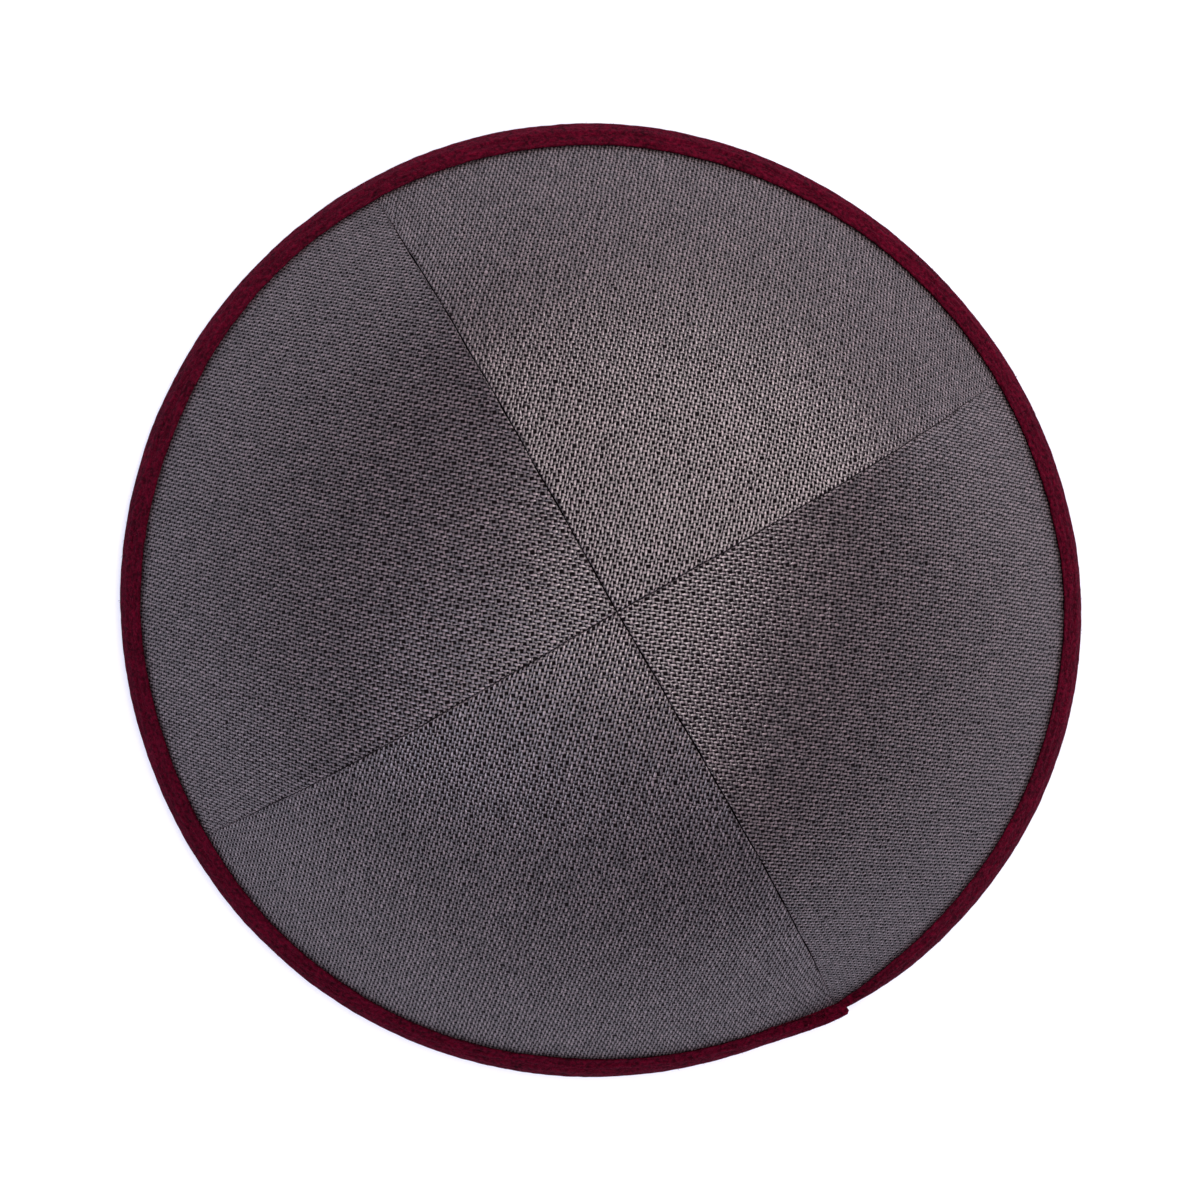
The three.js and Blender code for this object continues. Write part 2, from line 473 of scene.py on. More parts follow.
def trimmed(points, normals, threads, inside):
    """Keeps the part of a grid where inside is above 0, with a clean cut along its edge."""
    keep = inside > 0
    number = np.full(inside.shape, -1)
    number[keep] = np.arange(keep.sum())
    made = [points[keep], normals[keep], threads[keep]]
    count = int(keep.sum())
    corners = [number[:-1, :-1], number[1:, :-1], number[1:, 1:], number[:-1, 1:]]
    kept = sum((c >= 0).astype(int) for c in corners)
    polygons = np.stack([c[kept == 4] for c in corners], axis=-1).tolist()
    cuts = {}
    cut_rows = []
    following = {}

    def cut(a, b):
        key = (a, b) if a < b else (b, a)
        if key not in cuts:
            fa, fb = inside[key[0]], inside[key[1]]
            part = min(max(fa / (fa - fb), 0.04), 0.96)
            ends = [(q[key[0]], q[key[1]]) for q in (points, normals, threads)]
            cut_rows.append([first * (1 - part) + last * part for first, last in ends])
            cuts[key] = count + len(cuts)
        return cuts[key]

    for row, column in np.argwhere((kept > 0) & (kept < 4)):
        ring = [(row, column), (row + 1, column), (row + 1, column + 1), (row, column + 1)]
        polygon = []
        leaving = []
        for k, a in enumerate(ring):
            b = ring[(k + 1) % 4]
            if keep[a]:
                polygon.append(int(number[a]))
            if keep[a] != keep[b]:
                place = cut(a, b)
                polygon.append(place)
                leaving.append((place, bool(keep[a])))
        for k, (place, leaves) in enumerate(leaving):
            if leaves:
                following[place] = leaving[(k + 1) % len(leaving)][0]
        polygons.append(polygon)
    made = [np.concatenate([q, [r[k] for r in cut_rows]]) for k, q in enumerate(made)]
    start = next(iter(following))
    loop = [start]
    while following[loop[-1]] != start:
        loop.append(following[loop[-1]])
    return Skin(*made, polygons, loop)


def loop_facts(panel, skin):
    """For each point of a skin's edge: the seam it lies on (0, 1 or 2 for the rim) and its way round."""
    points = skin.points[skin.loop]
    gaps = np.stack([seam_distance(panel, points, seam) for seam in (0, 1)], axis=-1)
    bearing = np.mod(bearing_of(points[:, 0], points[:, 1]) - panel.first + 90, 360) - 90 + panel.first
    radius = np.hypot(points[:, 0], points[:, 1])
    full = edge_radius(bearing)
    to_rim = full + 1 - radius
    kind = np.argmin(np.stack([gaps[:, 0], gaps[:, 1], to_rim], axis=-1), axis=-1)
    span = panel.last - panel.first
    way = np.choose(kind, [radius / full, 3 - radius / full, 1 + (bearing - panel.first) / span])
    return kind, way


def turned_loop(panel, skin):
    """The skin with its edge listed from the apex, down the first seam and round."""
    kind, way = loop_facts(panel, skin)
    start = int(np.argmin(way))
    loop = skin.loop[start:] + skin.loop[:start]
    way = np.maximum.accumulate(np.roll(way, -start))
    return skin._replace(loop=loop), np.roll(kind, -start), way


def with_tip(panel, skin, roll):
    """Adds the sharp tip at the apex, which a trimmed grid cuts off."""
    skin, kind, way = turned_loop(panel, skin)
    insets = [float(seam_gap(panel, seam, 0)) + roll for seam in (0, 1)]
    corner = np.linalg.solve(np.array(seam_inward(panel))[:, :2], insets)
    near = skin.points[[skin.loop[0], skin.loop[-1]]].mean(axis=0)
    tip = np.array([corner[0], corner[1], near[2]])
    tip_threads = skin.threads[[skin.loop[0], skin.loop[-1]]].mean(axis=0)
    number = len(skin.points)
    skin.polygons.append([skin.loop[-1], number, skin.loop[0]])
    skin = skin._replace(
        points=np.vstack([skin.points, tip]),
        normals=np.vstack([skin.normals, [0, 0, 1]]),
        threads=np.vstack([skin.threads, tip_threads]),
        loop=[number] + skin.loop,
    )
    kind = np.concatenate([[3], kind])
    way = np.concatenate([[0], way])
    return skin, kind, way


def rolled_edge(panel, skin, kind, settings):
    """Rows of points that roll a panel's edge down into the seam, with their thread places."""
    inward = seam_inward(panel)
    points = skin.points[skin.loop]
    normals = skin.normals[skin.loop]
    aside = np.zeros_like(points)
    down = -normals.copy()
    for seam in (0, 1):
        on = kind == seam
        aside[on] = -inward[seam]
        level = normals[on] - (normals[on] @ inward[seam])[:, None] * inward[seam]
        down[on] = -level / np.linalg.norm(level, axis=1, keepdims=True)
    tip = -(inward[0] + inward[1]) / (1 + inward[0] @ inward[1])
    aside[kind == 3] = tip
    down[kind == 3] = (0, 0, -1)
    depth = np.zeros(len(points))
    for seam in (0, 1):
        on = kind == seam
        radius = np.hypot(points[on, 0], points[on, 1])
        depth[on] = seam_distance(panel, points[on], seam) - seam_gap(panel, seam, radius)
    depth[kind == 3] = SEAM_ROLL
    depth[kind == 2] = SEAM_ROLL_AT_RIM
    centre = math.radians(panel.grain)
    along = np.array([math.cos(centre), math.sin(centre), 0])
    across = np.array([-math.sin(centre), math.cos(centre), 0])
    pitch = np.array([settings.warp_pitch, settings.weft_pitch]) / METRES
    outward = np.where((kind == 2)[:, None], normals * (1, 1, 0), aside)
    thread_turn = np.stack([outward @ across, outward @ along], axis=-1) / pitch
    rows = []
    for step in range(1, ROLL_STEPS + 1):
        turn = step * math.pi / 2 / ROLL_STEPS
        level = (depth * math.sin(turn))[:, None]
        fall = (depth * (1 - math.cos(turn)))[:, None]
        rows.append((points + aside * level + down * fall, depth * turn))
    thickness = settings.thickness / METRES
    rows.append((rows[-1][0] + down * (thickness / 3), rows[-1][1] + thickness / 3))
    threads = skin.threads[skin.loop]
    return [(place, threads + thread_turn * length[:, None]) for place, length in rows]


def zipped(upper, upper_way, lower, lower_way):
    """Triangles between two closed rows of points of different number."""
    triangles = []
    i = 0
    j = 0
    ways = (np.append(upper_way, 3.5), np.append(lower_way, 3.5))
    while i < len(upper) or j < len(lower):
        step_upper = j >= len(lower) or (i < len(upper) and ways[0][i + 1] <= ways[1][j + 1])
        a = upper[i % len(upper)]
        b = lower[j % len(lower)]
        if step_upper:
            triangles.append((upper[(i + 1) % len(upper)], a, b))
            i += 1
        else:
            triangles.append((a, b, lower[(j + 1) % len(lower)]))
            j += 1
    return triangles


def make_mesh(name, points, polygons, smooth=True):
    """A mesh object in the frame, from points in millimetres about the apex."""
    mesh = bpy.data.meshes.new(name)
    placed = (np.asarray(points) + (APEX[0], APEX[1], 0)) * METRES
    sizes = np.array([len(p) for p in polygons])
    corners = np.concatenate([np.asarray(p, dtype=np.int32) for p in polygons])
    mesh.vertices.add(len(placed))
    mesh.vertices.foreach_set("co", placed.astype(np.float32).ravel())
    mesh.loops.add(len(corners))
    mesh.loops.foreach_set("vertex_index", corners.astype(np.int32))
    mesh.polygons.add(len(sizes))
    starts = np.concatenate([[0], np.cumsum(sizes)[:-1]])
    mesh.polygons.foreach_set("loop_start", starts.astype(np.int32))
    mesh.polygons.foreach_set("use_smooth", np.full(len(sizes), smooth))
    mesh.update(calc_edges=True)
    mesh.validate()
    piece = bpy.data.objects.new(name, mesh)
    bpy.context.scene.collection.objects.link(piece)
    return piece


def add_map(piece, name, corners):
    """A UV map from one pair of numbers for each corner of each face."""
    layer = piece.data.uv_layers.new(name=name)
    layer.data.foreach_set("uv", np.asarray(corners, dtype=np.float32).ravel())


def panel_piece(panel, order, settings):
    """One woven panel: the outer skin of threads, its rolled edges and a plain inner skin."""
    random = np.random.default_rng(SEED + order)
    weave = weave_places(panel, settings, random)
    half = settings.thickness / METRES / 2
    threads = np.stack([weave.warp, weave.weft], axis=-1)

    def room(x, y, points, roll):
        radius = np.hypot(x, y)
        full = edge_radius(bearing_of(x, y))
        inset = roll * (1 - 0.5 * smoothstep(*SEAM_CLOSES, radius / full))
        to_seam = [seam_distance(panel, points, seam) - seam_gap(panel, seam, radius) for seam in (0, 1)]
        return np.minimum(np.minimum(*to_seam) - inset, full - radius)

    level, _ = crown_point(panel, weave.x, weave.y, np.full(weave.x.shape, half))
    points, normals = crown_point(panel, weave.x, weave.y, half + weave.relief)
    skin = trimmed(points, normals, threads, room(weave.x, weave.y, level, SEAM_ROLL))
    skin, kind, way = with_tip(panel, skin, SEAM_ROLL)
    edge_rows = rolled_edge(panel, skin, kind, settings)

    coarse = (slice(None, None, LINING_STEP), slice(None, None, LINING_STEP))
    x, y = weave.x[coarse], weave.y[coarse]
    points, normals = crown_point(panel, x, y, np.full(x.shape, -half))
    lining = trimmed(points, normals, threads[coarse], room(x, y, points, LINING_INSET))
    lining, _, lining_way = with_tip(panel, lining, LINING_INSET)

    places = [skin.points]
    thread_places = [skin.threads]
    upper = skin.loop
    polygons = list(skin.polygons)
    total = len(skin.points)
    for row, row_threads in edge_rows:
        lower = list(range(total, total + len(row)))
        total += len(row)
        places.append(row)
        thread_places.append(row_threads)
        for k in range(len(upper)):
            after = (k + 1) % len(upper)
            polygons.append((upper[after], upper[k], lower[k], lower[after]))
        upper = lower
    outer_faces = len(polygons)
    inner_loop = [total + k for k in lining.loop]
    wall = zipped(upper, way, inner_loop, lining_way)
    polygons.extend(wall)
    wall_faces = len(polygons)
    polygons.extend([[total + k for k in reversed(p)] for p in lining.polygons])
    places.append(lining.points)
    thread_places.append(lining.threads)

    piece = make_mesh(panel.name + "_linen", np.concatenate(places), polygons)
    thread_place = np.concatenate(thread_places)
    corners = np.concatenate([np.asarray(p) for p in polygons])
    sizes = np.array([len(p) for p in polygons])
    face = np.repeat(np.arange(len(polygons)), sizes)
    add_map(piece, "weave", thread_place[corners] + THREADS_APART * (order + 1))
    pitch = np.array([settings.warp_pitch, settings.weft_pitch]) / METRES
    laid = thread_place[corners] * pitch
    widest = np.abs(laid[:, 0]).max()
    outer_map = laid * (OUTER_SHARE / widest) + OUTER_PLACE
    turned = np.stack([laid[:, 0] + laid[:, 1], laid[:, 1] - laid[:, 0]], axis=-1) / math.sqrt(2)
    inner_map = turned * (INNER_SHARE / widest) + INNER_PLACE
    flat = np.where((face < wall_faces)[:, None], outer_map, inner_map)
    in_wall = (face >= outer_faces) & (face < wall_faces) & (corners >= total)
    flat[in_wall] = wall_corners(upper, wall, corners[in_wall], thread_place, pitch, widest)
    add_map(piece, "OFBake", flat)
    piece.data.uv_layers["weave"].active = True
    piece.data.uv_layers["weave"].active_render = True
    return piece


def wall_corners(upper, wall, lower_corners, thread_place, pitch, widest):
    """Places on the bake map for the wall's lower corners, just outside the upper row's places."""
    upper_places = thread_place[upper] * pitch
    ahead = np.roll(upper_places, -1, axis=0) - np.roll(upper_places, 1, axis=0)
    outward = np.stack([ahead[:, 1], -ahead[:, 0]], axis=-1)
    outward /= np.maximum(np.linalg.norm(outward, axis=1, keepdims=True), 1e-6)
    near = {}
    index = {vertex: k for k, vertex in enumerate(upper)}
    for triangle in wall:
        partner = next(v for v in triangle if v in index)
        for vertex in triangle:
            if vertex not in index and vertex not in near:
                near[vertex] = index[partner]
    rows = np.array([near[v] for v in lower_corners])
    return (upper_places[rows] + WALL_REACH * outward[rows]) * (OUTER_SHARE / widest) + OUTER_PLACE


def outer_leg(bearing):
    """Width of the outer leg, which is drawn narrower where the two ends are sewn down."""
    from_lap = np.mod(bearing - LAP_MIDDLE + 180, 360) - 180
    return periodic(OUTER_LEG, bearing) - LAP_NARROWING * np.exp(-((from_lap / LAP_SPREAD) ** 2))


def stitch_width(leg):
    """How far up from the cloth's edge the stitches lie."""
    return max(leg - STITCH_FROM_TOP, 0.4 * leg)


def tape_piece():
    """Two tapes under the seams, on the inside, each from rim to rim over the apex."""
    places = []
    polygons = []
    size = 2 * TAPE_COLUMNS
    for order in (0, 1):
        first = len(places)
        top = TAPE_DEPTH + (TAPE_THICKNESS + 0.03) * order
        for place in np.linspace(-1, 1, TAPE_ROWS):
            heading = -1 if place < 0 else 1
            bearing = PANELS[order + 1 + heading].first
            turn = math.radians(bearing)
            aim = np.array([math.cos(turn), math.sin(turn)])
            aside = heading * np.array([-aim[1], aim[0]])
            reach = abs(place) * (float(edge_radius(bearing)) - 0.5)
            section = []
            for depth in (top, top + TAPE_THICKNESS):
                for side in np.linspace(-1, 1, TAPE_COLUMNS):
                    x, y = aim * reach + aside * side * TAPE_WIDTH / 2
                    under = panel_at(float(bearing_of(x, y)))
                    point, _ = crown_point(under, np.array([x]), np.array([y]), np.array([-depth]))
                    section.append(point[0])
            places.extend(section[:TAPE_COLUMNS] + section[:TAPE_COLUMNS - 1:-1])
        for station in range(TAPE_ROWS - 1):
            for k in range(size):
                a = first + station * size + k
                b = first + station * size + (k + 1) % size
                polygons.append((a, a + size, b + size, b))
        polygons.append(tuple(first + k for k in range(size)))
        polygons.append(tuple(first + (TAPE_ROWS - 1) * size + k for k in range(size))[::-1])
    return make_mesh("seam_tape", places, polygons)


def lap_rise(bearing):
    """How far the strip's end is lifted over its own start. Bearings run on past 360 along the strip."""
    return LAP_RISE * smoothstep(LAP_START + 360, LAP_FULL + 360, bearing)


Strip = namedtuple("Strip", "bearing leg lift pressed covered above")


def strip_at(bearing):
    """How the folded strip lies at a bearing along it."""
    return Strip(
        bearing=bearing,
        leg=outer_leg(bearing),
        lift=lap_rise(bearing),
        pressed=smoothstep(LAP_END + 360 - 4, LAP_END + 360, bearing),
        covered=1 - smoothstep(LAP_END, UNDER_END, bearing),
        above=LAP_RISE * smoothstep(LAP_START, LAP_FULL, bearing),
    )


def outer_offsets(strip, width):
    """Offsets of the outer leg's underside and face at a width up from the cloth's edge."""
    share = np.clip(width / strip.leg, 0, 1)
    taper = 1 - 0.8 * smoothstep(0.1, 1, share)
    hug = 0.22 * smoothstep(0.5, 1, share)
    under = HALF_CHANNEL - hug + strip.lift * taper
    thick = 1 - (0.48 + 0.2 * strip.pressed) * smoothstep(0.25, 1, share)
    below_lap = np.clip(strip.above * taper - 0.05, 0.08, 1)
    thick = thick + (np.minimum(below_lap, thick) - thick) * strip.covered
    return under, under + thick


def inner_offsets(strip):
    """Offsets of the inner leg's cloth side and face."""
    share = strip.lift / LAP_RISE
    return HALF_CHANNEL + 0.45 * share, HALF_BINDING - 0.65 * strip.covered


def foot_height(strip):
    """How high the under layer's foot is held by the layer that covers it."""
    return 0.45 * strip.covered


# The outer edge from its hem to its face: how far each point is set back and its share of the height
LIP = (
    (EDGE_SET_BACK, 0.0),
    (EDGE_SET_BACK, 0.34),
    (0.02, 0.46),
    (0.0, 0.72),
    (0.09, 0.92),
    (EDGE_ROUND, 1.0),
)

# Parts of the strip's section that show from outside or inside the cap
SHOWING_PARTS = ("top", "face", "fold", "inside", "inside_top")


def section_rows():
    """The strip's section as rows of (part, place): the part's name and how far along it."""
    rows = [("top", k / (len(LIP) - 1)) for k in range(len(LIP))]
    rows += [("face", k / 20) for k in range(1, 20)]
    rows += [("fold", k / 14) for k in range(15)]
    rows += [("inside", k / 9) for k in range(1, 9)]
    rows += [("inside_top", k / 3) for k in range(4)]
    rows += [("under_in", k / 4) for k in range(1, 4)]
    rows += [("channel", k / 6) for k in range(7)]
    rows += [("under_out", k / 5) for k in range(1, 5)]
    return rows


def leg_point(aim, edge, run, panel, width, offset):
    """A point on a leg of the strip: width up from the cloth's edge and offset from its middle."""
    radius = edge - width * run
    x = radius * aim[0]
    y = radius * aim[1]
    point, _ = crown_point(panel, x, y, offset)
    return point


def fold_point(aim, edge, angle, radius, lowest):
    """A point on the fold: a turn about the cloth's edge, flat where it would go below lowest."""
    height = np.maximum(EDGE_HEIGHT + radius * math.sin(angle), lowest)
    level = edge + radius * math.cos(angle)
    return np.array([level * aim[0], level * aim[1], height])


def strip_section(bearing, puff, ragged):
    """Points of one section of the binding."""
    strip = strip_at(bearing)
    panel = panel_at(bearing)
    turn = math.radians(bearing)
    aim = (math.cos(turn), math.sin(turn))
    edge = float(edge_radius(bearing))
    normal = crown_normal(panel, np.array([edge * aim[0]]), np.array([edge * aim[1]]))[0]
    slope = math.atan2(normal[2], math.hypot(normal[0], normal[1]))
    leg = strip.leg + ragged
    under_in, face_in = inner_offsets(strip)
    under_edge, face_edge = outer_offsets(strip, 0.0)
    foot = foot_height(strip)
    widths = []
    offsets = []
    folds = []
    for part, place in section_rows():
        width = 0.0
        offset = 0.0
        if part == "top":
            set_back, height = LIP[round(place * (len(LIP) - 1))]
            width = leg - set_back
            under, face = outer_offsets(strip, leg)
            offset = under + height * (face - under)
        elif part == "face":
            width = (leg - EDGE_ROUND) * (1 - place)
            _, face = outer_offsets(strip, width)
            from_row = (width - stitch_width(leg)) / 0.5
            dip = 0.16 * math.exp(-from_row * from_row)
            pillow = 0.1 * math.sin(math.pi * min(max(width / leg, 0), 1)) ** 2
            offset = face + (pillow - dip) * (1 - strip.covered)
        elif part == "inside":
            width = (INNER_LEG - EDGE_ROUND) * place
            offset = -face_in
        elif part == "inside_top":
            rise = math.sin(place * math.pi / 2)
            width = INNER_LEG - EDGE_ROUND * (1 - rise)
            offset = -face_in + 0.6 * (face_in - under_in) * (1 - math.sqrt(1 - rise * rise))
        elif part == "under_in":
            width = INNER_LEG * (1 - place)
            offset = -under_in
        elif part == "under_out":
            width = leg * place
            offset = outer_offsets(strip, width)[0]
        elif part == "fold":
            radius = face_edge + (face_in - face_edge) * place
            folds.append((len(widths), fold_point(aim, edge, slope - place * math.pi, radius, foot)))
        else:
            radius = under_in + (under_edge - under_in) * place
            angle = slope - (1 - place) * math.pi
            folds.append((len(widths), fold_point(aim, edge, angle, radius, foot + 0.35)))
        widths.append(width)
        offsets.append(offset)
    row = leg_point(aim, edge, normal[2], panel, np.array(widths), np.array(offsets))
    for place, point in folds:
        row[place] = point
    return row + puff * crown_like(row, edge, aim)


def crown_like(row, edge, aim):
    """Rough outward directions for a section's points, for small swellings of the nap."""
    middle = np.array([(edge - 2.2) * aim[0], (edge - 2.2) * aim[1], 4.2])
    away = row - middle
    return away / np.linalg.norm(away, axis=1, keepdims=True)


def smooth_noise(random, count, rows, span):
    """Seeded noise, smooth over span stations, for each place round the section."""
    field = random.normal(0, 1, (count + 4 * span, rows))
    kernel = np.hanning(2 * span + 1)[1:-1]
    kernel /= np.sqrt((kernel**2).sum())
    field = np.apply_along_axis(lambda v: np.convolve(v, kernel, "same"), 0, field)
    ring = np.array([0.25, 0.5, 0.25])
    field = sum(ring[k] * np.roll(field, k - 1, axis=1) for k in range(3))
    return field[2 * span:-2 * span]


def strip_bearings():
    """Bearings of the stations along the strip, from its hidden start to its end on top."""
    length = math.radians(LAP_END + 360 - STRIP_START) * float(np.mean(RIM))
    count = int(length / BINDING_STATION)
    return np.linspace(STRIP_START, LAP_END + 360, count + 1)


def binding_piece():
    """The folded binding: one strip whose end laps over its start."""
    random = np.random.default_rng(SEED + 20)
    bearings = strip_bearings()
    size = len(section_rows())
    count = len(bearings)
    swell = sum(smooth_noise(random, count, size, span) * high for span, high in FACE_UNEVENNESS)
    ragged = sum(smooth_noise(random, count, 3, span)[:, 0] * wide for span, wide in EDGE_UNEVENNESS)
    showing = np.array([part in SHOWING_PARTS for part, _ in section_rows()])
    on_floor = np.array([part == "fold" and place > 0.45 for part, place in section_rows()])
    puff = swell * (showing & ~on_floor)
    rows = [strip_section(b, puff[k][:, None], ragged[k]) for k, b in enumerate(bearings)]
    rows = rounded_end(rows)
    points = np.concatenate(rows)
    points[:, 2] = np.maximum(points[:, 2], 0)
    polygons = []
    for station in range(count - 1):
        for k in range(size):
            after = (k + 1) % size
            a = station * size + k
            b = station * size + after
            polygons.append((a, b, b + size, a + size))
    polygons.extend(end_faces(0, size, True))
    polygons.extend(end_faces((count - 1) * size, size, False))
    piece = make_mesh("binding_strip", points, polygons)
    add_strip_maps(piece, rows, polygons, size)
    return piece


def rounded_end(rows):
    """Rounds the strip's end on top: its last stations draw in towards the middle of its thickness."""
    names = [part for part, _ in section_rows()]
    drawn = {"top": 0.5, "face": 0.5, "fold": 0.5, "inside": 0.3, "inside_top": 0.3}
    inner = [k for k, part in enumerate(names) if part not in SHOWING_PARTS]
    last = rows[-1].mean(axis=0)
    for back in range(4):
        row = rows[-1 - back]
        distance = np.linalg.norm(row.mean(axis=0) - last)
        to_end = (END_ROUND - min(distance, END_ROUND)) / END_ROUND
        share = math.sqrt(max(1 - to_end**2, 0))
        closest = np.array([row[inner][np.argmin(np.linalg.norm(row[inner] - p, axis=1))] for p in row])
        pull = np.array([drawn.get(part, 0) for part in names])[:, None] * (1 - share)
        rows[-1 - back] = row + (closest - row) * pull
    return rows


def end_faces(first, size, start):
    """Closes an end of the strip between its outer and inner points."""
    names = [part for part, _ in section_rows()]
    outer = [k for k in range(size) if names[k] in SHOWING_PARTS]
    inner = [k for k in range(size) if k not in outer][::-1]
    faces = []
    i = 0
    j = 0
    while i < len(outer) - 1 or j < len(inner) - 1:
        outer_behind = i * (len(inner) - 1) <= j * (len(outer) - 1)
        step_outer = j == len(inner) - 1 or (i < len(outer) - 1 and outer_behind)
        if step_outer:
            face = (first + outer[i], first + outer[i + 1], first + inner[j])
            i += 1
        else:
            face = (first + outer[i], first + inner[j + 1], first + inner[j])
            j += 1
        faces.append(face if not start else face[::-1])
    return faces


def add_strip_maps(piece, rows, polygons, size):
    """Maps of the strip: its own millimetres, and four bands for baking."""
    grid = np.array(rows)
    along = np.concatenate([[0], np.cumsum(np.linalg.norm(np.diff(grid[:, 12], axis=0), axis=1))])
    ring = np.append(grid[len(rows) // 2], grid[len(rows) // 2][:1], axis=0)
    around = np.concatenate([[0], np.cumsum(np.linalg.norm(np.diff(ring, axis=0), axis=1))])
    bands = 4
    stations = len(rows) - 1
    per_band = -(-stations // bands)
    strip_corners = []
    bake_corners = []
    for polygon in polygons:
        station = min(polygon[0] // size, stations)
        lowest = min(v // size for v in polygon)
        band = min(lowest // per_band, bands - 1)
        wraps = len(polygon) == 4 and {polygon[0] % size, polygon[1] % size} == {0, size - 1}
        for vertex in polygon:
            place = vertex % size
            if wraps and place == 0:
                place = size
            station = vertex // size
            strip_corners.append((along[station], around[place]))
            share = (station - band * per_band) / per_band
            if len(polygon) == 3:
                share += 0.004 if station else -0.004
            height = around[place] / around[-1]
            bake_corners.append((0.01 + 0.98 * share, (band + 0.04 + 0.92 * height) / bands))
    add_map(piece, "strip", strip_corners)
    add_map(piece, "OFBake", bake_corners)
    piece.data.uv_layers["strip"].active = True
    piece.data.uv_layers["strip"].active_render = True


def surface_frame(bearing, width, inside):
    """A place on the binding's outer or inner leg: the point, and directions along, up and outward."""
    strip = strip_at(bearing)
    panel = panel_at(bearing)
    turn = math.radians(bearing)
    aim = (math.cos(turn), math.sin(turn))
    edge = float(edge_radius(bearing))
    normal = crown_normal(panel, np.array([edge * aim[0]]), np.array([edge * aim[1]]))[0]
    offset = -inner_offsets(strip)[1] if inside else outer_offsets(strip, width)[1] - 0.05
    widths = np.array([width, width + 0.1])
    points = leg_point(aim, edge, normal[2], panel, widths, np.full(2, offset))
    up = points[1] - points[0]
    up /= np.linalg.norm(up)
    along = np.array([-aim[1], aim[0], 0])
    along -= (along @ up) * up
    along /= np.linalg.norm(along)
    outward = np.cross(along, up)
    if outward @ normal < 0:
        outward = -outward
    if inside:
        outward = -outward
    return points[0], along, up, outward


def tubes(paths, radii, sides):
    """Closed tubes along paths of equal length, joined into one mesh's points and faces."""
    points = []
    polygons = []
    for path, radius in zip(paths, radii):
        first = len(points)
        count = len(path)
        for k in range(count):
            ahead = path[min(k + 1, count - 1)] - path[max(k - 1, 0)]
            ahead /= max(np.linalg.norm(ahead), 1e-9)
            level = np.cross(ahead, (0.0, 0.0, 1.0))
            level /= max(np.linalg.norm(level), 1e-9)
            up = np.cross(level, ahead)
            for side in range(sides):
                turn = 2 * math.pi * side / sides
                points.append(path[k] + radius[k] * (math.cos(turn) * level + math.sin(turn) * up))
        for k in range(count - 1):
            for side in range(sides):
                a = first + k * sides + side
                b = first + k * sides + (side + 1) % sides
                polygons.append((a, b, b + sides, a + sides))
        polygons.append(tuple(first + side for side in range(sides))[::-1])
        polygons.append(tuple(first + (count - 1) * sides + side for side in range(sides)))
    return points, polygons


def topstitch_piece(settings):
    """The row of stitches that holds the binding, outside and inside."""
    random = np.random.default_rng(SEED + 30)
    pitch = settings.stitch_pitch / METRES
    length = settings.stitch_length / METRES
    paths = []
    radii = []
    per_degree = math.radians(1) * float(np.mean(RIM))
    first = LAP_END + 0.6
    last = LAP_END + 360 - 0.5
    for inside in (False, True):
        count = int((last - first) * per_degree / pitch)
        for k in range(count):
            middle = first + (k + 0.5) * (last - first) / count + random.normal(0, 0.03)
            half = length / 2 * (1 + random.normal(0, 0.08))
            tilt = random.normal(0, 0.05)
            path = []
            for share in STITCH_STATIONS:
                bearing = middle + share * half / per_degree
                leg = float(strip_at(bearing).leg)
                width = INNER_LEG - STITCH_FROM_TOP if inside else stitch_width(leg)
                point, _, _, outward = surface_frame(bearing, width + tilt * share, inside)
                rise = -0.02 - 0.3 * max(abs(share) - 0.72, 0) ** 1.2 * 2
                path.append(point + rise * outward)
            paths.append(path)
            taper = [math.sqrt(max(1 - (share / 1.45) ** 2, 0.05)) for share in STITCH_STATIONS]
            radii.append([STITCH_RADIUS * part for part in taper])
    points, polygons = tubes(paths, radii, 6)
    return make_mesh("binding_topstitch", points, polygons)


def nap_piece(settings):
    """Loose fibres of the binding's brushed face, most of them lying flat."""
    random = np.random.default_rng(SEED + 40)
    paths = []
    radii = []
    for fibre in range(settings.nap_fibres):
        bearing = random.uniform(LAP_END + 0.5, LAP_END + 359.2)
        leg = float(strip_at(bearing).leg)
        at_edge = fibre % 4 == 0
        inside = fibre % 9 == 1
        width = leg - abs(random.normal(0, 0.25)) if at_edge else random.uniform(-0.4, leg - 0.3)
        if inside:
            width = random.uniform(0.5, INNER_LEG - 0.3)
        point, along, up, outward = surface_frame(bearing, max(width, 0), inside)
        heading = random.normal(0, 0.9)
        if at_edge:
            heading = math.pi / 2 + random.normal(0, 0.6)
        length = random.uniform(*NAP_LENGTH)
        curl = random.normal(0, 1.2)
        lift = abs(random.normal(0.06, 0.06))
        place = point + outward * 0.02
        path = [place - outward * 0.08]
        for k in range(3):
            turn = heading + curl * k / 3
            ahead = math.cos(turn) * along + math.sin(turn) * up
            place = place + ahead * length / 3 + outward * lift * (1 - 0.8 * k)
            path.append(place)
        thick = random.uniform(*NAP_RADIUS)
        paths.append(path)
        radii.append([thick, thick, thick * 0.8, thick * 0.4])
    points, polygons = tubes(paths, radii, 3)
    return make_mesh("binding_nap", points, polygons)


